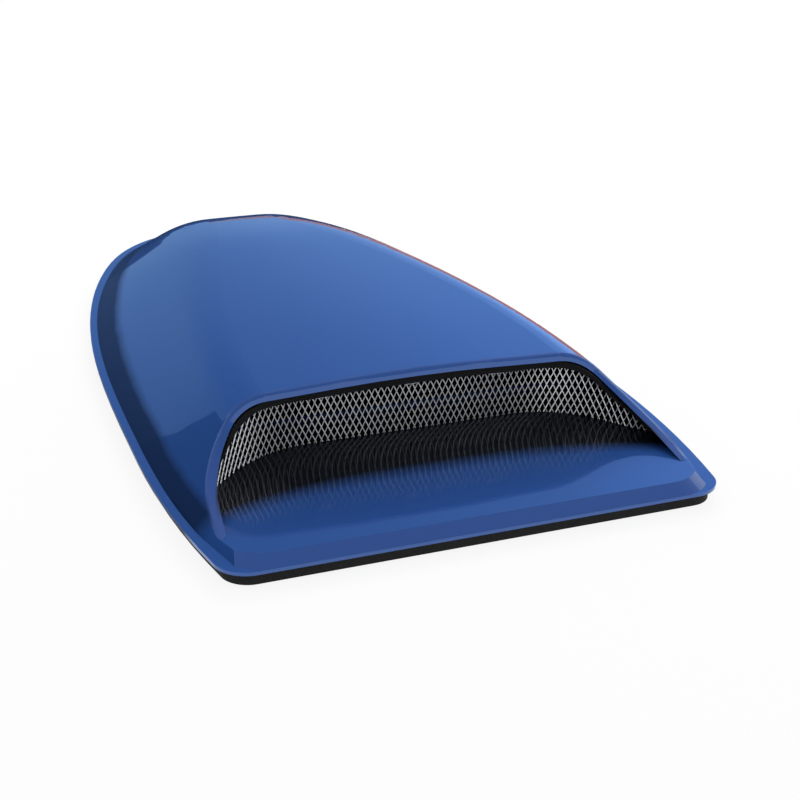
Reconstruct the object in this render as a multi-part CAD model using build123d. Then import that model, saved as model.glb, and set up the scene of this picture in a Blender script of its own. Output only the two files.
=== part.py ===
from build123d import *
from math import atan2, cos, radians, sin, tan
import os

# Air intake scoop for a vehicle bonnet.
# Millimetres. X is the width, the mouth faces -Y, +Z is up. While it is modelled,
# Y counts from the front edge of the flange. The last step moves the origin to the
# middle of the base, on the plane that the rubber seal stands on.

# Plan of the base flange. Places along Y are shares of its length.
flange_length = 910.0
flange_front_width = 444.0
flange_width = 492.0
flange_widest_share = 0.247
flange_rear_width = 433.0
flange_rear_share = 0.703
flange_tail_width = 357.0
flange_tail_share = 0.844
flange_corner_radius = 30.0
flange_thickness = 3.0
flange_ledge = 8.0

# Rubber seal under the flange
seal_height = 11.3
seal_width = 16.0
seal_inset = 5.4

# Hood: a loft through upright sections. Each has its place as a share of the length, the
# height of its middle, the share of its foot width at which flank and roof would meet,
# and the share of the flat roof that the rounding between them takes.
roof_height = 95.0
hood_stations = [(-0.044, 86.5, 0.69, 0.15), (0.071, 90.2, 0.695, 0.15), (0.187, 93.0, 0.70, 0.15),
                 (0.347, 94.8, 0.655, 0.16), (0.591, 89.0, 0.53, 0.27), (0.738, 79.5, 0.48, 0.42),
                 (0.842, 65.5, 0.47, 0.50)]
crown_share = 0.45
tail_angles = [22.0, 40.0, 55.0, 67.0, 77.0]
tail_share = 0.46
tail_bend_share = 0.52
tail_fall = 0.35
tail_power = 2.2
roof_cross_radius = 1900.0
hollow_rise_share = 3.0
wall = 4.0

# Mouth: raked opening, rolled rim and the bevelled sill in front of it
bevel_length = 14.4
bevel_height = 7.0
rim_foot_at = 50.0
rim_knee_at = 99.0
rim_knee_height = 33.0
rim_cheek_at = 143.0
rim_cheek_height = 55.0
rim_brow_at = 165.5
rim_brow_height = 79.5
rim_top_at = 174.0
rim_thickness = 6.0
rim_depth = 10.0
rim_round = 5.0
wedge_side_slope = 60.0

# Duct floor behind the sill
sill_fall_angle = 1.5
floor_knee_at = 136.0
floor_rise_angle = 12.5
floor_end_at = 222.0
floor_knee_radius = 220.0

# Expanded metal mesh
mesh_at = 181.0
mesh_straight = 200.0
mesh_bend_radius = 130.0
mesh_bend_angle = 45.0
mesh_end_length = 20.0
mesh_thickness = 1.2
mesh_clearance = 0.4
mesh_gap_length = 34.0
mesh_gap_width = 17.0
mesh_gap_rows = 3
mesh_strand = 2.4

# Clips that hold the top of the mesh, each with one screw up into a pad under the roof
clip_places = [-85.0, 0.0, 85.0]
clip_width = 14.0
clip_reach = 17.0
clip_drop = 12.0
clip_thickness = 1.0
pad_diameter = 12.0
pad_drop = 3.5
screw_diameter = 3.5
screw_length = 5.5
screw_head_diameter = 7.0
screw_head_height = 2.2

# Threaded inserts in bosses along both sides, for bolts that come up through the bonnet
front_bolts_at = 64.0
middle_bolt_shares = [0.288, 0.516]
rear_bolt_share = 0.747
boss_inset = 26.0
boss_diameter = 15.0
insert_diameter = 7.0
insert_length = 6.0
insert_bore = 4.2
fit_gap = 0.05

base_z = seal_height
plate_top = base_z + flange_thickness
crease_z = plate_top + bevel_height
far = 2 * flange_length
beyond = flange_length / 2
flange_widest_at = flange_length * flange_widest_share
flange_rear_at = flange_length * flange_rear_share
flange_tail_at = flange_length * flange_tail_share
middle_bolts_at = [flange_length * share for share in middle_bolt_shares]
rear_bolts_at = flange_length * rear_bolt_share


def outline(z, length, front_at, front, wide, rear, tail, corner, inset=0.0):
    """Closed plan face at height z, symmetric about X = 0.

    wide, rear and tail are (width, place along Y) pairs; front is the front width.
    """
    front_point = (front / 2 - inset, front_at + inset)
    wide_point = (wide[0] / 2 - inset, wide[1])
    rear_point = (rear[0] / 2 - inset, rear[1])
    tail_point = (tail[0] / 2 - inset, tail[1] - inset / 2)
    end_point = (0, length - inset)
    side = TangentArc(wide_point, front_point, tangent=(0, -1))
    back = Spline(wide_point, rear_point, tail_point, end_point, tangents=[(0, 1), (-1, 0)])
    right = [side, back]
    left = [mirror(edge, Plane.YZ) for edge in right]
    nose = Line((-front_point[0], front_point[1]), front_point)
    face = make_face(right + left + [nose])
    corners = face.vertices().group_by(Axis.Y)[0]
    face = fillet(corners, corner - inset)
    return Pos(0, 0, z) * face


def flange_outline(z, inset=0.0):
    """Plan of the flange, or of a line that runs inset inside its edge."""
    return outline(z, flange_length, 0.0, flange_front_width, (flange_width, flange_widest_at),
                   (flange_rear_width, flange_rear_at), (flange_tail_width, flange_tail_at),
                   flange_corner_radius, inset)


def half_width(face, at):
    """Half width of a plan face at a place along Y."""
    across = face & Line((0, at), (flange_width, at))
    return across.bounding_box().max.X


def hood_section(foot, station, depth):
    """Upright section of the hood at a station, depth inside its outer face."""
    at, height, share, bend_share = station
    reach = half_width(foot, max(at, bevel_length))
    corner = reach * share
    rise = height - plate_top
    flank = atan2(rise, reach - corner)
    drop = corner**2 / (2 * roof_cross_radius) * rise / roof_height
    roof = atan2(drop, corner)
    bend = bend_share * corner / tan((flank - roof) / 2) - depth
    crown = crown_share * corner / tan(roof) - depth
    base = reach - depth / sin(flank)
    edge = corner - depth * tan(flank / 2)
    top = height - depth
    right = FilletPolyline((-base, plate_top), (-edge, top - drop), (0, top), (edge, top - drop),
                           (base, plate_top), radius=[bend, crown, bend])
    under = Line((base, plate_top), (-base, plate_top))
    return Plane.XZ.offset(-at) * make_face([right, under])


def tail_station(angle):
    """Station on the rounded tail, where the hood runs down to the flange."""
    last_share, last_height, _, _ = hood_stations[-1]
    last_at = flange_length * last_share
    reach = flange_length - flange_ledge - last_at
    along = sin(radians(angle))
    left = 1 - tail_fall * along - (1 - tail_fall) * along**tail_power
    height = plate_top + (last_height - plate_top) * left
    return last_at + reach * along, height, tail_share, tail_bend_share


def hood_solid(depth):
    """Hood as a closed block, depth inside its outer face."""
    foot = hood_foot()
    body = [(flange_length * at, height, share, bend) for at, height, share, bend in hood_stations]
    tail = [tail_station(angle) for angle in tail_angles]
    sections = [hood_section(foot, station, depth) for station in body + tail
                if station[1] - plate_top > hollow_rise_share * depth]
    if depth == 0:
        return loft(sections)
    body_count = len(hood_stations) + 1
    return loft(sections[:body_count]) + loft(sections[body_count - 1:], ruled=True)


def hood_foot():
    """Plan of the hood where its flanks stand on the flange."""
    return flange_outline(0, flange_ledge)


def front_wedge():
    """Block that bevels the front edge and rounds the front corners of the hood."""
    rise = roof_height
    run = rise * bevel_length / bevel_height
    side = 2 * flange_ledge
    narrow = side + 2 * rise / tan(radians(wedge_side_slope))
    corner = flange_corner_radius + flange_ledge
    low = outline(plate_top, flange_length, 0.0, flange_front_width - side,
                  (flange_width - side, flange_widest_at), (flange_rear_width - side, flange_rear_at),
                  (flange_tail_width - side, flange_tail_at), corner)
    high = outline(plate_top + rise, flange_length, run, flange_front_width - narrow,
                   (flange_width - narrow, flange_widest_at + run / 2),
                   (flange_rear_width - narrow, flange_rear_at),
                   (flange_tail_width - narrow, flange_tail_at), corner)
    return loft([low, high], ruled=True)


def side_block(points, width=far):
    """Block whose side view is the closed run of edges given as points."""
    profile = make_face(points)
    return extrude(Plane.YZ.offset(-width / 2) * profile, width)


def sill_height(at):
    """Height of the straight sill line at a place along Y."""
    return crease_z - (at - bevel_length) * tan(radians(sill_fall_angle))


def floor_line(drop=0.0):
    """Top line of the sill and duct floor, drop below its face."""
    knee = (floor_knee_at, sill_height(floor_knee_at) - drop)
    end = (floor_end_at, knee[1] + (floor_end_at - floor_knee_at) * tan(radians(floor_rise_angle)))
    start = (-beyond, sill_height(-beyond) - drop)
    return FilletPolyline(start, knee, end, radius=floor_knee_radius)


def rake_line(shift=0.0):
    """Side view of the mouth's rim, from the sill up to the roof."""
    foot = (rim_foot_at + shift, sill_height(rim_foot_at))
    knee = (rim_knee_at + shift, rim_knee_height)
    cheek = (rim_cheek_at + shift, rim_cheek_height)
    brow = (rim_brow_at + shift, rim_brow_height)
    top = (rim_top_at + shift, roof_height + wall)
    return Spline(foot, knee, cheek, brow, top)


def behind_rake(shift=0.0):
    """Everything behind and below the raked line of the mouth."""
    rake = rake_line(shift)
    start = (-beyond, sill_height(-beyond))
    front = Line(start, rake @ 0)
    rest = Polyline(rake @ 1, (rim_top_at + shift, beyond), (far, beyond), (far, -beyond),
                    (-beyond, -beyond), start)
    return side_block([front, rake, rest])


def rim_solid(gap):
    """Band inside the mouth that makes the rim thicker than the wall, larger by gap all round."""
    band = behind_rake(-rim_depth - gap) - behind_rake(rim_depth + gap)
    return band - hood_solid(rim_thickness + gap)


def floor_slab():
    """Sill and duct floor, one wall thick, across the whole width."""
    upper = floor_line()
    lower = floor_line(wall)
    ends = [Line(upper @ 1, lower @ 1), Line(upper @ 0, lower @ 0)]
    return side_block([upper, lower] + ends)


def mesh_plan(shift):
    """Plan line of the mesh, shift in front of its middle surface."""
    half = mesh_straight / 2
    middle = Line((0, -shift), (half, -shift))
    bend = JernArc(middle @ 1, middle % 1, mesh_bend_radius - shift, -mesh_bend_angle)
    end = Line(bend @ 1, (bend @ 1) + (bend % 1) * mesh_end_length)
    return [middle, bend, end]


def mesh_place(along):
    """Place and turn of the mesh at a length along its plan line from the middle."""
    half = mesh_straight / 2
    bend_length = mesh_bend_radius * radians(mesh_bend_angle)
    if along <= half:
        return along, 0.0
    turn = min(along - half, bend_length) / mesh_bend_radius
    x = half + mesh_bend_radius * sin(turn) + max(0.0, along - half - bend_length) * cos(turn)
    return x, turn


def mesh_gap(x, z, turn):
    """One diamond gap of the expanded metal, cut along Y."""
    width = (mesh_gap_width - mesh_strand) * cos(turn) / 2
    height = (mesh_gap_length - 2 * mesh_strand) / 2
    points = [(x - width, z), (x, z + height), (x + width, z), (x, z - height), (x - width, z)]
    depth = mesh_bend_radius
    return extrude(Plane.XZ.offset(-mesh_at - mesh_thickness) * make_face(Polyline(points)), depth)


# Shell: plate and hood, with the rim rounded before the hollow is cut
outer = hood_solid(0.0) & front_wedge() & behind_rake()
on_rake = rake_line() @ 0.5
rim_face = outer.faces().sort_by_distance((0, on_rake.X, on_rake.Y))[0]
rim_edges = [edge for edge in rim_face.edges() if edge.bounding_box().max.Z > crease_z + rim_round]
outer = fillet(rim_edges, rim_round)
plate = extrude(flange_outline(base_z), flange_thickness)
inside = hood_solid(wall)
foot_inside = flange_outline(base_z, flange_ledge + wall)
cavity = inside & extrude(foot_inside, roof_height)
cavity = cavity + extrude(foot_inside, flange_thickness)
cavity = cavity - floor_slab()
cavity = cavity - rim_solid(0.0)
shell = plate + outer - cavity

# Seal: a flat ring under the edge of the flange
ring = flange_outline(0, seal_inset) - flange_outline(0, seal_inset + seal_width)
seal = extrude(ring, seal_height)

# Mesh: a bent sheet across the duct, cut by staggered rows of diamond gaps
front_line = mesh_plan(mesh_thickness / 2)
back_line = mesh_plan(-mesh_thickness / 2)
half_plan = make_face(front_line + back_line + [Line(front_line[0] @ 0, back_line[0] @ 0),
                                                Line(front_line[-1] @ 1, back_line[-1] @ 1)])
half_sheet = extrude(Pos(0, mesh_at, 0) * half_plan, roof_height)
sheet = half_sheet + mirror(half_sheet, Plane.YZ)
above_floor = side_block([floor_line(-mesh_clearance)] + [Polyline(
    floor_line(-mesh_clearance) @ 1, (floor_end_at, beyond), (-beyond, beyond),
    floor_line(-mesh_clearance) @ 0)])
sheet = (sheet & hood_solid(wall + mesh_clearance) & above_floor) - rim_solid(mesh_clearance)
box = sheet.bounding_box()
gaps = []
reach = mesh_straight / 2 + mesh_bend_radius * radians(mesh_bend_angle) + mesh_end_length
columns = int(reach / (mesh_gap_width / 2))
for column in range(-columns, columns + 1):
    x, turn = mesh_place(abs(column) * mesh_gap_width / 2)
    offset = (column % 2) * mesh_gap_length / 2
    for row in range(mesh_gap_rows):
        z = box.min.Z + offset + row * mesh_gap_length
        if z - mesh_gap_length / 2 < box.max.Z:
            gaps.append(mesh_gap(x if column > 0 else -x, z, turn))
mesh = (sheet - gaps).solids().sort_by(SortBy.VOLUME)[-1]

# Bosses and inserts: a front pair, four in the middle and a rear pair
foot = hood_foot()
front_x = half_width(foot, front_bolts_at) - boss_inset
middle_x = half_width(foot, middle_bolts_at[-1]) - boss_inset
rear_x = half_width(foot, rear_bolts_at) - boss_inset
front_spots = [(side * front_x, front_bolts_at) for side in (-1, 1)]
other_spots = [(side * middle_x, at) for side in (-1, 1) for at in middle_bolts_at]
other_spots += [(side * rear_x, rear_bolts_at) for side in (-1, 1)]
low_boss = sill_height(front_bolts_at) - wall / 2 - base_z
under = hood_solid(wall / 2)
up = (Align.CENTER, Align.CENTER, Align.MIN)
for x, y in front_spots:
    shell = shell + Pos(x, y, base_z) * Cylinder(boss_diameter / 2, low_boss, align=up)
for x, y in other_spots:
    shell = shell + (Pos(x, y, base_z) * Cylinder(boss_diameter / 2, roof_height, align=up) & under)
insert = Cylinder(insert_diameter / 2, insert_length, align=up)
insert = insert - Cylinder(insert_bore / 2, insert_length, align=up)
pocket = Cylinder(insert_diameter / 2 + fit_gap, insert_length, align=up)
spots = [Pos(x, y, base_z) for x, y in front_spots + other_spots]
shell = shell - [spot * pocket for spot in spots]
inserts = Compound(children=[spot * insert for spot in spots])

# Clips: a folded strip behind the mesh, screwed up into a pad under the roof
clip_start = mesh_at + mesh_thickness / 2
pad_at = clip_start + clip_reach - pad_diameter / 2
clips = []
screws = []
for x in clip_places:
    above = inside & Line((x, pad_at, base_z), (x, pad_at, far))
    roof_under = above.bounding_box().max.Z
    pad_z = roof_under - pad_drop
    pad = Pos(x, pad_at, pad_z) * Cylinder(pad_diameter / 2, pad_drop + wall / 2, align=up)
    pilot = Pos(x, pad_at, pad_z) * Cylinder(screw_diameter / 2 + fit_gap, screw_length, align=up)
    shell = shell + pad - pilot
    corner = Pos(x, clip_start, pad_z - fit_gap)
    back = (Align.CENTER, Align.MIN, Align.MAX)
    clip = corner * (Box(clip_width, clip_reach, clip_thickness, align=back)
                     + Box(clip_width, clip_thickness, clip_drop, align=back))
    clip = clip - Pos(x, pad_at, pad_z) * Cylinder(screw_diameter / 2 + fit_gap, far)
    clips.append(clip)
    shank = Cylinder(screw_diameter / 2, screw_length, align=up)
    head = Cylinder(screw_head_diameter / 2, screw_head_height, align=up)
    screw = Pos(0, 0, screw_head_height) * shank + head
    screws.append(Pos(x, pad_at, pad_z - fit_gap - clip_thickness - screw_head_height) * screw)
clips = Compound(children=clips)
screws = Compound(children=screws)

# Move the origin to the middle of the base and write one file for each piece
os.makedirs("parts", exist_ok=True)
pieces = {"scoop_shell": shell, "grille_mesh": mesh, "base_seal": seal, "threaded_inserts": inserts,
          "mesh_clips": clips, "clip_screws": screws}
for name, shape in pieces.items():
    export_step(Pos(0, -flange_length / 2, 0) * shape, f"parts/{name}.step")
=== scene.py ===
# %% [markdown]
# # Air intake scoop
# A bonnet scoop is one glossy painted moulding with an expanded metal grille in its mouth
# and a rubber seal under its flange. The CAD model gives every size. Here the same pieces
# get the looks of the real ones: paint, bright metal, black rubber.

# %% Frame
import math

import bpy
from mathutils import Matrix, Vector


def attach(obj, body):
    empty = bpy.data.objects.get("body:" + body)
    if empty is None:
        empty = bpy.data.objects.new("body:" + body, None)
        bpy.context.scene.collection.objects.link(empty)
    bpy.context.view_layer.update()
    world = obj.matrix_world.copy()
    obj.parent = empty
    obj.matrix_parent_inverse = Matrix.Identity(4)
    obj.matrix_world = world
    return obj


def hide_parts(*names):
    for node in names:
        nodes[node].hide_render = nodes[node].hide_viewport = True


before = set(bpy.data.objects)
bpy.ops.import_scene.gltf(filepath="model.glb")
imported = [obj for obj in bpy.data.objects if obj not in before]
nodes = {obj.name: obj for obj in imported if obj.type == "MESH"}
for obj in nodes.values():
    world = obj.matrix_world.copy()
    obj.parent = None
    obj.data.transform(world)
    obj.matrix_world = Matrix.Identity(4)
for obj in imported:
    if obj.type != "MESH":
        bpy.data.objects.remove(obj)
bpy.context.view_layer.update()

# %% [markdown]
# Colours are written as sRGB hex, as a paint chart gives them. Blender's sockets want linear
# light, so one function turns them.

# %% Colour and node helpers
def linear(hex_colour):
    """Linear colour with alpha, from sRGB hex."""
    channels = [int(hex_colour[i:i + 2], 16) / 255 for i in (1, 3, 5)]
    return [c / 12.92 if c <= 0.04045 else ((c + 0.055) / 1.055)**2.4 for c in channels] + [1.0]


def add_node(tree, kind, settings=None, links=None, name=None):
    """One node with its settings and links. Settings name sockets or, failing that, properties."""
    node = tree.nodes.new(kind)
    for key, value in (settings or {}).items():
        if isinstance(key, int) or key in node.inputs:
            node.inputs[key].default_value = value
        else:
            setattr(node, key, value)
    for key, source in (links or {}).items():
        tree.links.new(source, node.inputs[key])
    if name:
        node.label = name
    return node


def new_material(name):
    """Empty material with nodes, and its node tree."""
    material = bpy.data.materials.new(name)
    material.use_nodes = True
    tree = material.node_tree
    tree.nodes.clear()
    return material, tree


print("#808080 is", round(linear("#808080")[0], 3), "in linear light")

# %% [markdown]
# The camera stands low at the left front corner and looks down on the scoop. Its place and
# turn come from fitting the outline of the real object to the CAD sizes.

# %% Camera
image_width = 800
focal_pixels = 1456.3
camera_data = bpy.data.cameras.new("camera")
camera_data.sensor_width = 36.0
camera_data.lens = camera_data.sensor_width * focal_pixels / image_width
camera = bpy.data.objects.new("camera", camera_data)
bpy.context.scene.collection.objects.link(camera)
right = Vector((0.93498, -0.35456, 0.00961)).normalized()
forward = Vector((0.32887, 0.85645, -0.39792)).normalized()
up = right.cross(forward).normalized()
camera.matrix_world = Matrix.Translation((-0.44834, -1.4115, 0.58718)) @ Matrix(
    (right, up, -forward)).transposed().to_4x4()
camera_data.clip_end = 50
bpy.context.scene.camera = camera
print("camera lens", round(camera_data.lens, 1), "mm")

# %% [markdown]
# ## Blue gloss paint
# The moulding is glass fibre sprayed with a blue base coat under clear lacquer. The base coat
# holds a little aluminium flake, so a part of its colour comes from what it mirrors, and it
# darkens quickly as it turns away from the light. The lacquer is a thin sharp coat on top: it
# carries the crisp edges of the reflections.
#
# Sprayed paint is never quite flat. Orange peel is a ripple about 2 mm across and a few
# thousandths of a millimetre high. It is drawn here 6 mm across and higher, so that it shows.
# A few dust nibs, small dark dots, sit in the paint too.

# %% Paint values
paint_deep = linear("#27529c")
paint_light = linear("#2b59a6")
paint_edge = linear("#7fb4e6")
paint_roughness = 0.32
flake_share = 0.22
peel_size = 0.006
cloud_size = 0.35
speck_size = 0.012
speck_rarity = 0.992
speck_reach = 0.07
# This black marks the dust nibs and also serves as painted shade inside and in the crease.
resin_and_shade_black = linear("#0c0d10")


def scale_for(size):
    """Noise scale that gives features of about this size in metres."""
    return 1.0 / size


print("orange peel scale", round(scale_for(peel_size), 1))

# %% Paint material
paint, tree = new_material("blue_lacquered_paint")
place = add_node(tree, "ShaderNodeTexCoord", name="place on the moulding")
cloud = add_node(tree, "ShaderNodeTexNoise", {"Scale": scale_for(cloud_size), "Detail": 2.0},
                 {"Vector": place.outputs["Object"]}, "flake density")
colour = add_node(tree, "ShaderNodeMix", {"data_type": "RGBA", 6: paint_deep, 7: paint_light},
                  {0: cloud.outputs["Fac"]}, "base coat")
specks = add_node(tree, "ShaderNodeTexVoronoi", {"Scale": scale_for(speck_size)},
                  {"Vector": place.outputs["Object"]}, "dust nibs")
rare = add_node(tree, "ShaderNodeSeparateColor", links={0: specks.outputs["Color"]})
seldom = add_node(tree, "ShaderNodeMath", {"operation": "GREATER_THAN", 1: speck_rarity},
                  {0: rare.outputs["Red"]}, "under one cell in a hundred")
near_centre = add_node(tree, "ShaderNodeMath", {"operation": "LESS_THAN", 1: speck_reach},
                       {0: specks.outputs["Distance"]}, "small")
nib = add_node(tree, "ShaderNodeMath", {"operation": "MULTIPLY"},
               {0: seldom.outputs[0], 1: near_centre.outputs[0]}, "nib")
marked = add_node(tree, "ShaderNodeMix", {"data_type": "RGBA", 7: resin_and_shade_black},
                  {0: nib.outputs[0], 6: colour.outputs[2]}, "marked base coat")
print("nodes of the base coat", len(tree.nodes))

# %% [markdown]
# The inside is painted shade. The duct floor, the back of the lip and the hollow behind are
# painted the black of bare gel coat, and the blue fades out on the sill at the soft edge of this
# painted shade. Simple tests of place and normal find those faces, and each test is a ramp from
# 0 to 1. Products of them give three areas: the duct floor lies behind a curved line and between
# the flanks, the underside looks down, and bosses and pads stand upright above the flange.

# %% Painted shade inside the moulding
geometry = add_node(tree, "ShaderNodeNewGeometry", name="surface")
normal = add_node(tree, "ShaderNodeSeparateXYZ", links={0: geometry.outputs["Normal"]})
spot = add_node(tree, "ShaderNodeSeparateXYZ", links={0: place.outputs["Object"]})
across = add_node(tree, "ShaderNodeMath", {"operation": "ABSOLUTE"}, {0: spot.outputs["X"]})
bowed = add_node(tree, "ShaderNodeMath", {"operation": "POWER", 1: 3.0}, {0: across.outputs[0]})
# This curved line is the edge of the painted shade on the duct floor.
painted_shade_line = add_node(tree, "ShaderNodeMath", {"operation": "MULTIPLY_ADD", 1: 3.6},
                      {0: bowed.outputs[0], 2: spot.outputs["Y"]}, "painted shade line").outputs[0]
flank_slope = 1.1
leaning = add_node(tree, "ShaderNodeMath", {"operation": "MULTIPLY_ADD", 1: flank_slope},
                   {0: across.outputs[0], 2: spot.outputs["Z"]})
from_flank = add_node(tree, "ShaderNodeMath", {"operation": "MULTIPLY_ADD", 1: -0.06},
                      {0: spot.outputs["Y"], 2: leaning.outputs[0]},
                      "depth inside the flank").outputs[0]
gates = {}
for gate, source, start, end in (
        ("painted shade edge", painted_shade_line, -0.351, -0.326),
        ("inside the flank", from_flank, 0.2815, 0.2785),
        ("below the wall", spot.outputs["Z"], 0.040, 0.034),
        ("ahead of the hollow", spot.outputs["Y"], -0.215, -0.225),
        ("looks down", normal.outputs["Z"], -0.10, -0.25),
        ("above the seal", spot.outputs["Z"], 0.012, 0.013),
        ("stands upright", normal.outputs["Z"], 0.30, 0.25),
        ("above the flange", spot.outputs["Z"], 0.0150, 0.0156),
        ("behind the mouth", spot.outputs["Y"], -0.275, -0.272),
        ("well inside", from_flank, 0.276, 0.272)):
    gates[gate] = add_node(tree, "ShaderNodeMapRange", {1: start, 2: end}, {0: source}, gate).outputs[0]
print("tests of place and normal", len(gates))

# %% Three areas of painted shade
areas = {}
for area, names in (
        ("duct floor", ("painted shade edge", "inside the flank", "below the wall",
                        "ahead of the hollow")),
        ("underside", ("looks down", "above the seal")),
        ("upright faces", ("stands upright", "above the flange", "behind the mouth",
                           "well inside"))):
    areas[area] = gates[names[0]]
    for gate in names[1:]:
        areas[area] = add_node(tree, "ShaderNodeMath", {"operation": "MULTIPLY"},
                               {0: areas[area], 1: gates[gate]}, area).outputs[0]
# Underside and upright faces inside are painted black as shade.
inside_faces_shade = add_node(tree, "ShaderNodeMath", {"operation": "MAXIMUM"},
               {0: areas["underside"], 1: areas["upright faces"]}, "painted shade on inside faces").outputs[0]
bare_and_shaded = add_node(tree, "ShaderNodeMath", {"operation": "MAXIMUM"}, {0: inside_faces_shade, 1: areas["duct floor"]},
                "bare gel coat").outputs[0]
print("bare areas", sorted(areas))

# %% [markdown]
# Along the foot of the hood the flank meets the flange in a crease. A dark dull band of painted
# shade runs round the hood there: the paint turns darker and loses its reflections. It is drawn
# as a ramp of height, with a slow noise that keeps its upper edge from being ruler straight.

# %% Crease line
crease_high = 0.034
crease_fade = 0.007
crease_wander = 0.001
wander = add_node(tree, "ShaderNodeTexNoise", {"Scale": scale_for(0.06), "Detail": 2.0},
                  {"Vector": place.outputs["Object"]}, "uneven edge")
shift = add_node(tree, "ShaderNodeMapRange", {1: 0.3, 2: 0.7, 3: -crease_wander, 4: crease_wander},
                 {0: wander.outputs["Fac"]})
height = add_node(tree, "ShaderNodeMath", {"operation": "ADD"},
                  {0: spot.outputs["Z"], 1: shift.outputs[0]})
crease = None
for gate, source, start, end in (
        ("foot of the hood", height.outputs[0], crease_high, crease_high - crease_fade),
        ("not the flange", normal.outputs["Z"], 0.93, 0.90),
        ("behind the front bevel", spot.outputs["Y"], -0.395, -0.37)):
    share = add_node(tree, "ShaderNodeMapRange", {1: start, 2: end}, {0: source}, gate).outputs[0]
    crease = share if crease is None else add_node(
        tree, "ShaderNodeMath", {"operation": "MULTIPLY"}, {0: crease, 1: share}, "crease").outputs[0]
print("crease reaches up to", crease_high * 1000, "mm")

# %% Painted shade over the paint
crease_shade_share = 0.75
gel_coat_roughness = 0.45
crease_specular_level = 0.06
lacquer_in_shade = 0.05
# The crease band is painted shade: the base coat is darkened towards black there.
painted_crease_shade = add_node(tree, "ShaderNodeMath", {"operation": "MULTIPLY", 1: crease_shade_share}, {0: crease},
                "painted shade in the crease")
shade_over_paint = add_node(tree, "ShaderNodeMath", {"operation": "MAXIMUM"}, {0: painted_crease_shade.outputs[0], 1: bare_and_shaded},
                   "painted shade over the paint")
surface_colour = add_node(tree, "ShaderNodeMix", {"data_type": "RGBA", 7: resin_and_shade_black},
                          {0: shade_over_paint.outputs[0], 6: marked.outputs[2]}, "paint or painted shade")
flakes = add_node(tree, "ShaderNodeMapRange", {3: flake_share, 4: 0.0}, {0: shade_over_paint.outputs[0]},
                  "flake share")
rough = add_node(tree, "ShaderNodeMapRange", {3: paint_roughness, 4: gel_coat_roughness}, {0: bare_and_shaded},
                 "roughness")
# Reflections are cut in the crease as part of the painted shade.
reflection_cut_in_crease = add_node(tree, "ShaderNodeMapRange", {3: 0.5, 4: crease_specular_level}, {0: crease},
                 "reflections cut in the shaded crease")
# Lacquer is taken off in the crease and on the inside faces, as part of the painted shade.
lacquer_off_in_shade = add_node(tree, "ShaderNodeMath", {"operation": "MAXIMUM"}, {0: crease, 1: inside_faces_shade}, "no lacquer")
lacquer = add_node(tree, "ShaderNodeMapRange", {3: 1.0, 4: lacquer_in_shade}, {0: lacquer_off_in_shade.outputs[0]},
                   "lacquer")
print("nodes before the shader", len(tree.nodes))

# %% Paint shader
peel = add_node(tree, "ShaderNodeTexNoise", {"Scale": scale_for(peel_size), "Detail": 1.0},
                {"Vector": place.outputs["Object"]}, "orange peel")
ripple = add_node(tree, "ShaderNodeBump", {"Strength": 0.05, "Distance": 0.0004},
                  {"Height": peel.outputs["Fac"]})
bsdf = add_node(tree, "ShaderNodeBsdfPrincipled", {
    "IOR": 1.5, "Coat Roughness": 0.03, "Coat IOR": 1.5, "Specular Tint": paint_edge}, {
    "Base Color": surface_colour.outputs[2], "Metallic": flakes.outputs[0],
    "Roughness": rough.outputs[0], "Specular IOR Level": reflection_cut_in_crease.outputs[0],
    "Coat Weight": lacquer.outputs[0], "Normal": ripple.outputs[0]}, "metallic paint")
add_node(tree, "ShaderNodeOutputMaterial", links={"Surface": bsdf.outputs[0]})
print("paint nodes", len(tree.nodes))

# %% [markdown]
# ## Sponge rubber
# The seal is closed-cell EPDM cut from sheet: black, matt, with a fine skin of cells. Cells are
# about 0.3 mm; they are drawn 1.2 mm here. The eye gets a soft black that never shines.

# %% Rubber material
cell_size = 0.0012
rubber, tree = new_material("black_epdm_sponge_rubber")
place = add_node(tree, "ShaderNodeTexCoord")
cells = add_node(tree, "ShaderNodeTexNoise", {"Scale": scale_for(cell_size), "Detail": 3.0},
                 {"Vector": place.outputs["Object"]}, "cells")
shade = add_node(tree, "ShaderNodeMix", {"data_type": "RGBA", 6: linear("#060607"),
                                         7: linear("#101113")}, {0: cells.outputs["Fac"]}, "skin")
dull = add_node(tree, "ShaderNodeMapRange", {1: 0.3, 2: 0.7, 3: 0.62, 4: 0.85},
                {0: cells.outputs["Fac"]}, "roughness")
pits = add_node(tree, "ShaderNodeBump", {"Strength": 0.4, "Distance": 0.0003},
                {"Height": cells.outputs["Fac"]}, "open cells")
bsdf = add_node(tree, "ShaderNodeBsdfPrincipled", {"IOR": 1.5, "Specular IOR Level": 0.3},
                {"Base Color": shade.outputs[2], "Roughness": dull.outputs[0],
                 "Normal": pits.outputs[0]})
add_node(tree, "ShaderNodeOutputMaterial", links={"Surface": bsdf.outputs[0]})
print("cell scale", round(scale_for(cell_size), 1))

# %% [markdown]
# ## Aluminium sheet
# The grille is bare expanded aluminium. Its strands are sheared, so some faces are bright and
# some are dull. A slow noise of about 15 mm changes brightness from strand to strand, and a fine
# one of 0.6 mm gives the sheared grain.

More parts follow.
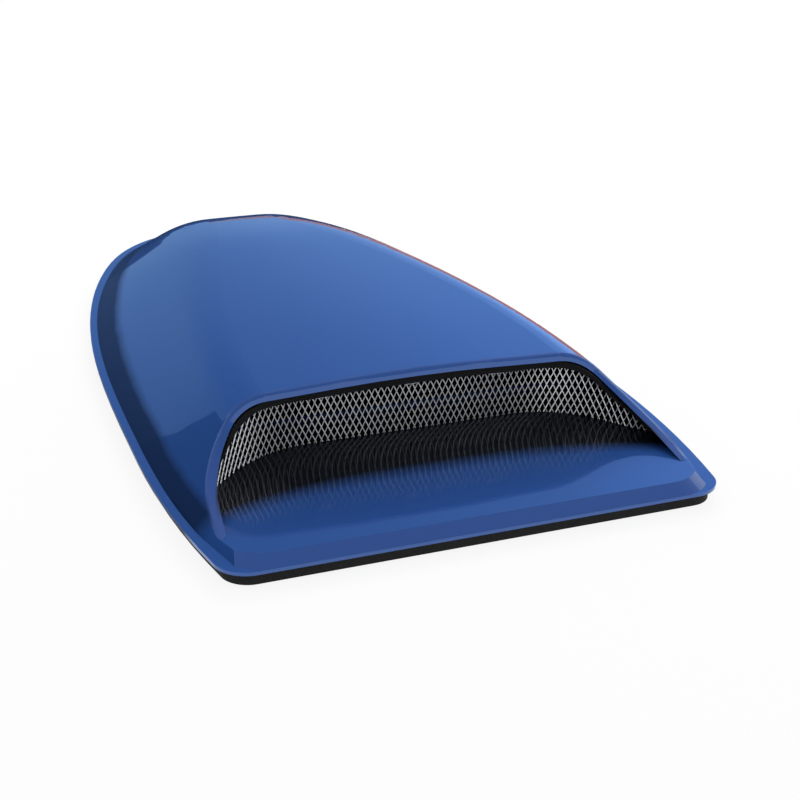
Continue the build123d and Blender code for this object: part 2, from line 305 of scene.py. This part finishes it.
# %% Aluminium material
patch_size = 0.015
grain_size = 0.0006
aluminium, tree = new_material("sheared_aluminium")
place = add_node(tree, "ShaderNodeTexCoord")
patches = add_node(tree, "ShaderNodeTexNoise", {"Scale": scale_for(patch_size), "Detail": 1.0},
                   {"Vector": place.outputs["Object"]}, "strand to strand")
grain = add_node(tree, "ShaderNodeTexNoise", {"Scale": scale_for(grain_size), "Detail": 2.0},
                 {"Vector": place.outputs["Object"]}, "sheared grain")
shade = add_node(tree, "ShaderNodeMix", {"data_type": "RGBA", 6: linear("#c9ccd2"),
                                         7: linear("#f3f3f2")}, {0: patches.outputs["Fac"]},
                 "bright and dull")
dull = add_node(tree, "ShaderNodeMapRange", {1: 0.3, 2: 0.7, 3: 0.28, 4: 0.45},
                {0: grain.outputs["Fac"]}, "roughness")
bsdf = add_node(tree, "ShaderNodeBsdfPrincipled", {"Metallic": 1.0},
                {"Base Color": shade.outputs[2], "Roughness": dull.outputs[0]})
add_node(tree, "ShaderNodeOutputMaterial", links={"Surface": bsdf.outputs[0]})
print("grain scale", round(scale_for(grain_size), 1))

# %% [markdown]
# ## Small metal parts
# Brass inserts are turned; their tool marks are drawn as a fine noise of 0.8 mm, because the
# inserts are small and hidden. The clips and screws are zinc-plated steel: a pale grey that
# varies in patches. One function serves both finishes, because only numbers differ.

# %% Brass and zinc
turning_size = 0.0008
plating_size = 0.004


def metal_finish(name, dark, light, smooth, dull_end, size):
    """Metal whose colour and roughness vary by noise of one size."""
    material, tree = new_material(name)
    place = add_node(tree, "ShaderNodeTexCoord")
    noise = add_node(tree, "ShaderNodeTexNoise", {"Scale": scale_for(size), "Detail": 3.0},
                     {"Vector": place.outputs["Object"]})
    shade = add_node(tree, "ShaderNodeMix", {"data_type": "RGBA", 6: linear(dark),
                                             7: linear(light)}, {0: noise.outputs["Fac"]})
    dull = add_node(tree, "ShaderNodeMapRange", {1: 0.3, 2: 0.7, 3: smooth, 4: dull_end},
                    {0: noise.outputs["Fac"]})
    bsdf = add_node(tree, "ShaderNodeBsdfPrincipled", {"Metallic": 1.0},
                    {"Base Color": shade.outputs[2], "Roughness": dull.outputs[0]})
    add_node(tree, "ShaderNodeOutputMaterial", links={"Surface": bsdf.outputs[0]})
    return material


brass = metal_finish("turned_brass", "#b08d4a", "#d6b66c", 0.22, 0.38, turning_size)
zinc = metal_finish("zinc_plated_steel", "#9a9ea3", "#c6c9cc", 0.3, 0.5, plating_size)
print("metal scales", round(scale_for(turning_size)), round(scale_for(plating_size)))

# %% Finishes on the CAD nodes
for name, material in (("scoop_shell", paint), ("base_seal", rubber), ("grille_mesh", aluminium),
                       ("threaded_inserts", brass), ("mesh_clips", zinc), ("clip_screws", zinc)):
    nodes[name].data.materials.clear()
    nodes[name].data.materials.append(material)
    print(name, "has", material.name)

# %% [markdown]
# The grille is expanded aluminium sheet: slit and pulled, so that each strand zigzags between
# bonds and lies twisted in the sheet. The CAD node has large diamonds with the same outline.
# Here the full pattern is built strand by strand, 12.3 mm by 6 mm, and cut off where it meets
# the duct floor below and the edge strip above. The plan line is straight in the middle and
# bends towards the mouth at both ends. Its ends run on until they meet the duct.

# %% Grille plan
grille_y = -0.274
grille_straight = 0.100
grille_bend = 0.130
grille_turn = math.radians(45)
grille_end = 0.040
diamond_long = 0.0123
diamond_short = 0.0060
strand_width = 0.0009
strand_depth = 0.0007
strand_twist = math.radians(32)
edge_gap = 0.0006
column_step = diamond_short / 2
row_step = diamond_long / 2


def grille_point(along):
    """Plan place and heading of the sheet at a length along it from its middle."""
    side = 1 if along >= 0 else -1
    length = abs(along)
    bend_length = grille_bend * grille_turn
    if length <= grille_straight:
        return Vector((along, grille_y, 0)), Vector((1, 0, 0))
    turn = min((length - grille_straight) / grille_bend, grille_turn)
    rest = max(0.0, length - grille_straight - bend_length)
    x = grille_straight + grille_bend * math.sin(turn) + rest * math.cos(turn)
    y = grille_y - grille_bend * (1 - math.cos(turn)) - rest * math.sin(turn)
    return Vector((side * x, y, 0)), Vector((math.cos(turn), -side * math.sin(turn), 0))


columns = int((grille_straight + grille_bend * grille_turn + grille_end) / column_step)
print("columns each side of the middle", columns)

# %% [markdown]
# Where the sheet ends at top and bottom is found by casting rays down through the CAD shell.
# The first hit is the roof, the second its underside and the third the duct floor.

# %% Grille limits
from mathutils.bvhtree import BVHTree

shell_tree = BVHTree.FromObject(nodes["scoop_shell"], bpy.context.evaluated_depsgraph_get())
ray_height = 0.2
ray_step = 0.00001
most_hits = 8


def limits_at(place):
    """Lowest and highest free z inside the duct at a plan place, or None outside it."""
    hits = []
    origin = place + Vector((0, 0, ray_height))
    while len(hits) < most_hits:
        hit = shell_tree.ray_cast(origin, Vector((0, 0, -1)))
        if hit[0] is None:
            break
        hits.append(hit[0].z)
        origin = hit[0] - Vector((0, 0, ray_step))
    if len(hits) < 3:
        return None
    return hits[2] + edge_gap, hits[1] - edge_gap


limits = {column: limits_at(grille_point(column * column_step)[0])
          for column in range(-columns, columns + 1)}
print("duct at the middle", [round(z * 1000, 1) for z in limits[0]], "mm")

# %% [markdown]
# A black band runs between the lip and the bright grille. It is built as a rubber edge strip
# that lies just in front of the sheet, so its room is found first: the grille's strands stop
# behind its lower part.

# %% Strip heights
strip_height = 0.0088
strip_front = 0.0042
strip_back = 0.0012
strip_limit = 0.0008
strip_overlap = 0.0018
least_room = 0.004
least_strip = 0.002


def strip_range(column):
    """Lowest and highest z that the edge strip may take at a column, or None outside the duct."""
    place, heading = grille_point(column * column_step)
    outward = Vector((heading.y, -heading.x, 0))
    found = [limits_at(place + outward * depth) for depth in (0.0, strip_back, strip_front)]
    found = [pair for pair in found if pair is not None and pair[1] - pair[0] > least_room]
    if limits[column] is None or not found:
        return None
    return (max(pair[0] for pair in found) + strip_limit,
            min(pair[1] for pair in found) - strip_limit)


strip_tops = {column: strip_range(column) for column in range(-columns, columns + 1)}
print("strip runs at the middle up to", round(strip_tops[0][1] * 1000, 1), "mm")

# %% Grille strands
import bmesh

bond_overlap = 0.25
least_cut = 0.1
lowest_strand = 0.015
highest_strand = 0.095


def add_strand(mesh_data, start, end, across, width, depth):
    """One square bar between two points, with its wide side along across."""
    run = (end - start).normalized()
    flat = (across - run * across.dot(run)).normalized() * width / 2
    thick = run.cross(flat).normalized() * depth / 2
    ring = []
    for place in (start - run * width * bond_overlap, end + run * width * bond_overlap):
        for a, b in ((-1, -1), (1, -1), (1, 1), (-1, 1)):
            ring.append(mesh_data.verts.new(place + flat * a + thick * b))
    for i in range(4):
        j = (i + 1) % 4
        mesh_data.faces.new((ring[i], ring[j], ring[4 + j], ring[4 + i]))
    mesh_data.faces.new(ring[3::-1])
    mesh_data.faces.new(ring[4:])


def new_piece(name, shape, material):
    """Object made from a bmesh, with its material."""
    data = bpy.data.meshes.new(name)
    shape.to_mesh(data)
    shape.free()
    data.materials.append(material)
    piece = bpy.data.objects.new(name, data)
    bpy.context.scene.collection.objects.link(piece)
    return piece


print("a strand is", strand_width * 1000, "by", strand_depth * 1000, "mm")

# %% Expanded grille
grille = bmesh.new()
first_row = int(lowest_strand / row_step)
last_row = int(highest_strand / row_step) + 1
for column in range(-columns, columns):
    near, far_end = limits[column], limits[column + 1]
    if near is None or far_end is None or None in (strip_tops[column], strip_tops[column + 1]):
        continue
    p0, heading0 = grille_point(column * column_step)
    p1, heading1 = grille_point((column + 1) * column_step)
    heading = (heading0 + heading1).normalized()
    facing = Vector((heading.y, -heading.x, 0))
    low_z = (near[0] + far_end[0]) / 2
    under_strip = (strip_tops[column][1] + strip_tops[column + 1][1]) / 2 - strip_overlap
    high_z = min((near[1] + far_end[1]) / 2, under_strip)
    if high_z - low_z < diamond_long / 4:
        continue
    for row in range(first_row, last_row):
        rising = (row + column) % 2 == 0
        z0, z1 = row * row_step, (row + 1) * row_step
        foot, head = (p0, p1) if rising else (p1, p0)
        start, end = foot + Vector((0, 0, z0)), head + Vector((0, 0, z1))
        cut0 = max(0.0, (low_z - z0) / (z1 - z0))
        cut1 = min(1.0, (high_z - z0) / (z1 - z0))
        if cut1 - cut0 < least_cut:
            continue
        a = start.lerp(end, cut0)
        b = start.lerp(end, cut1)
        side = 1 if rising else -1
        across = heading * math.cos(strand_twist) + facing * math.sin(strand_twist) * side
        add_strand(grille, a, b, across, strand_width, strand_depth)
grille_object = new_piece("expanded_grille", grille, aluminium)
print("grille strands", len(grille_object.data.polygons) // 6)
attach(grille_object, "root")
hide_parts("grille_mesh")

# %% [markdown]
# The edge strip follows the grille's plan line just in front of it, so it is a bar swept along
# that line. Its top follows the height that the rays found, and it gets thinner round the bends.

# %% Edge strip
strip_thinning = 0.6
strip = bmesh.new()
rings = []
for column in range(-columns, columns + 1):
    place, heading = grille_point(column * column_step)
    outward = Vector((heading.y, -heading.x, 0))
    if strip_tops[column] is None:
        continue
    low_z, top = strip_tops[column]
    bent = max(0.0, abs(column) * column_step - grille_straight) / (grille_bend * grille_turn)
    bottom = max(top - strip_height * (1 - strip_thinning * min(1.0, bent)), low_z)
    if top - bottom < least_strip:
        continue
    corners = [(strip_back, bottom), (strip_front, bottom), (strip_front, top), (strip_back, top)]
    rings.append([strip.verts.new(place + outward * depth + Vector((0, 0, z)))
                  for depth, z in corners])
for near, far_ring in zip(rings, rings[1:]):
    for i in range(4):
        j = (i + 1) % 4
        strip.faces.new((near[i], near[j], far_ring[j], far_ring[i]))
strip.faces.new(rings[0][::-1])
strip.faces.new(rings[-1])
bmesh.ops.recalc_face_normals(strip, faces=strip.faces)
edge_strip = new_piece("grille_edge_strip", strip, rubber)
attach(edge_strip, "root")
print("edge strip rings", len(rings))

# %% [markdown]
# ## Floor and studio
# The floor is pale and the room is white. Both look white to the camera and in mirrors, through
# the Light Path node, while the floor keeps a soft shadow.

# %% Floor
scene = bpy.context.scene
scene.view_settings.view_transform = "Standard"


def new_panel(name, corners, material):
    """Flat stage panel through its corners."""
    data = bpy.data.meshes.new(name)
    data.from_pydata(corners, [], [tuple(range(len(corners)))])
    data.materials.append(material)
    panel = bpy.data.objects.new(name, data)
    scene.collection.objects.link(panel)
    return panel


def background_share(tree):
    """1 for the rays that show the white background, 0 for those that light the object."""
    path = add_node(tree, "ShaderNodeLightPath")
    seen = add_node(tree, "ShaderNodeMath", {"operation": "MAXIMUM"},
                    {0: path.outputs["Is Camera Ray"], 1: path.outputs["Is Glossy Ray"]})
    return add_node(tree, "ShaderNodeMath", {"operation": "MAXIMUM"},
                    {0: seen.outputs[0], 1: path.outputs["Is Transmission Ray"]}).outputs[0]


floor_reach = 8.0
floor_level = -0.0005
floor_glow = 0.88
floor_white, tree = new_material("pale_floor")
matt = add_node(tree, "ShaderNodeBsdfDiffuse", {"Color": linear("#fafafa")})
white = add_node(tree, "ShaderNodeEmission", {"Color": linear("#ffffff"), "Strength": 1.0})
share = add_node(tree, "ShaderNodeMath", {"operation": "MULTIPLY", 1: floor_glow},
                 {0: background_share(tree)})
mixed = add_node(tree, "ShaderNodeMixShader", links={0: share.outputs[0], 1: matt.outputs[0],
                                                     2: white.outputs[0]})
add_node(tree, "ShaderNodeOutputMaterial", links={"Surface": mixed.outputs[0]})
new_panel("floor", [(x * floor_reach, y * floor_reach, floor_level)
                    for x, y in ((-1, -1), (1, -1), (1, 1), (-1, 1))], floor_white)
print("floor", 2 * floor_reach, "m square")

# %% [markdown]
# A black panel of painted shade lies inside the seal, where a car has the opening in its bonnet
# and the hollow under the scoop is dark. Without it the white floor would shine through the mesh.

# %% Painted shade under the scoop
shade_panel_level = 0.0003
shade_panel_black, tree = new_material("painted_shade_panel_black")
matt = add_node(tree, "ShaderNodeBsdfDiffuse", {"Color": linear("#060606")})
add_node(tree, "ShaderNodeOutputMaterial", links={"Surface": matt.outputs[0]})
side = [(0.212, -0.43), (0.233, -0.23), (0.222, 0.0), (0.203, 0.185), (0.165, 0.31), (0.095, 0.40)]
outline = side + [(-x, y) for x, y in side[::-1]]
new_panel("painted_shade_panel", [(x, y, shade_panel_level) for x, y in outline], shade_panel_black)
print("opening corners", len(outline))

# %% [markdown]
# Glossy paint shows the room more than it shows itself, so a photographer stands cards round
# it. Only mirrors see these: they light nothing. The roof looks at the back card, the left
# flank and cheek look at the dark card beside it, and the bevel and the rim look at the card
# overhead. The warm card on the floor gives the thin orange line along the right side.

# %% Reflection cards
card_level = 0.002


def card_glow(name, low_colour, high_colour, strength, right_gain):
    """Glow from one colour at the card's foot to another at its top, stronger to the right."""
    material, tree = new_material(name)
    place = add_node(tree, "ShaderNodeTexCoord")
    split = add_node(tree, "ShaderNodeSeparateXYZ", links={0: place.outputs["Generated"]})
    colour = add_node(tree, "ShaderNodeMix", {"data_type": "RGBA", 6: linear(low_colour),
                                              7: linear(high_colour)}, {0: split.outputs["Z"]})
    gain = add_node(tree, "ShaderNodeMapRange", {1: 0.35, 2: 0.75, 3: strength,
                                                 4: strength * right_gain}, {0: split.outputs["X"]})
    glow = add_node(tree, "ShaderNodeEmission", links={"Color": colour.outputs[2],
                                                       "Strength": gain.outputs[0]})
    add_node(tree, "ShaderNodeOutputMaterial", links={"Surface": glow.outputs[0]})
    return material


def new_card(name, corners, low_colour, high_colour, strength=1.0, right_gain=1.0):
    """Panel that only mirrors can see."""
    card = new_panel(name, corners, card_glow(name, low_colour, high_colour, strength, right_gain))
    card.visible_camera = False
    card.visible_diffuse = False
    card.visible_shadow = False
    card.visible_transmission = False
    return card


def upright(x0, y0, x1, y1, low, high):
    """Corners of an upright card that stands from one floor point to another."""
    return [(x0, y0, low), (x1, y1, low), (x1, y1, high), (x0, y0, high)]


def lying(x0, y0, x1, y1):
    """Corners of a card that lies on the floor."""
    return [(x0, y0, card_level), (x1, y0, card_level), (x1, y1, card_level), (x0, y1, card_level)]


print("cards on the floor lie", card_level * 1000, "mm up")

# %% Cards round the scoop
overhead = [(-1.5, -2.0, 2.4), (3.0, -2.0, 2.4), (3.0, 2.0, 2.3), (-1.5, 2.0, 2.3)]
for name, corners, low_colour, high_colour, *glow_values in (
        ("card_back", upright(-1.25, 2.0, 3.2, 2.0, -0.02, 2.2), "#88b4ee", "#2a427a", 0.75, 2.6),
        ("card_left", upright(-3.0, -0.2, -1.25, 2.0, -0.02, 2.2), "#040406", "#0a0c12"),
        ("card_front", upright(-3.0, -2.4, -0.2, -2.6, -0.02, 2.0), "#0a0a0c", "#101014"),
        ("card_warm", lying(0.30, -0.35, 1.6, 2.4), "#b8703c", "#c88048"),
        ("card_low_back", lying(-2.5, 0.46, 0.29, 2.0), "#1c2a4a", "#1c2a4a"),
        ("card_low_left", lying(-2.5, -0.60, -0.27, 0.45), "#06070a", "#06070a"),
        ("card_over", overhead, "#b0a0ae", "#8a8692")):
    new_card(name, corners, low_colour, high_colour, *glow_values)
    print(name, "stands from", low_colour, "to", high_colour)

# %% [markdown]
# The key lamp is one large soft box. It hangs low behind and to the right, so the roof is bright,
# the left flank turns dark, and the sill lies in the soft shade of the hood. Mirrors don't see
# it. The white room gives the rest of the light.

# %% Key lamp
key_place = Vector((1.25, 1.85, 1.4))
key_size = 2.2
key_power = 58
key_data = bpy.data.lights.new("soft_box", "AREA")
key_data.size = key_size
key_data.energy = key_power
key_lamp = bpy.data.objects.new("soft_box", key_data)
key_lamp.location = key_place
key_lamp.visible_glossy = False
key_lamp.rotation_euler = key_place.to_track_quat("Z", "Y").to_euler()
scene.collection.objects.link(key_lamp)
print("soft box spans", round(math.degrees(2 * math.atan(key_size / 2 / key_place.length))), "degrees")

# %% World
room_light = 0.70
world = bpy.data.worlds.new("studio")
scene.world = world
world.use_nodes = True
tree = world.node_tree
tree.nodes.clear()
soft = add_node(tree, "ShaderNodeBackground", {"Color": linear("#ffffff"), "Strength": room_light})
white = add_node(tree, "ShaderNodeBackground", {"Color": linear("#ffffff"), "Strength": 1.0})
mixed = add_node(tree, "ShaderNodeMixShader", links={0: background_share(tree), 1: soft.outputs[0],
                                                     2: white.outputs[0]})
add_node(tree, "ShaderNodeOutputWorld", links={"Surface": mixed.outputs[0]})
print("room light", room_light)
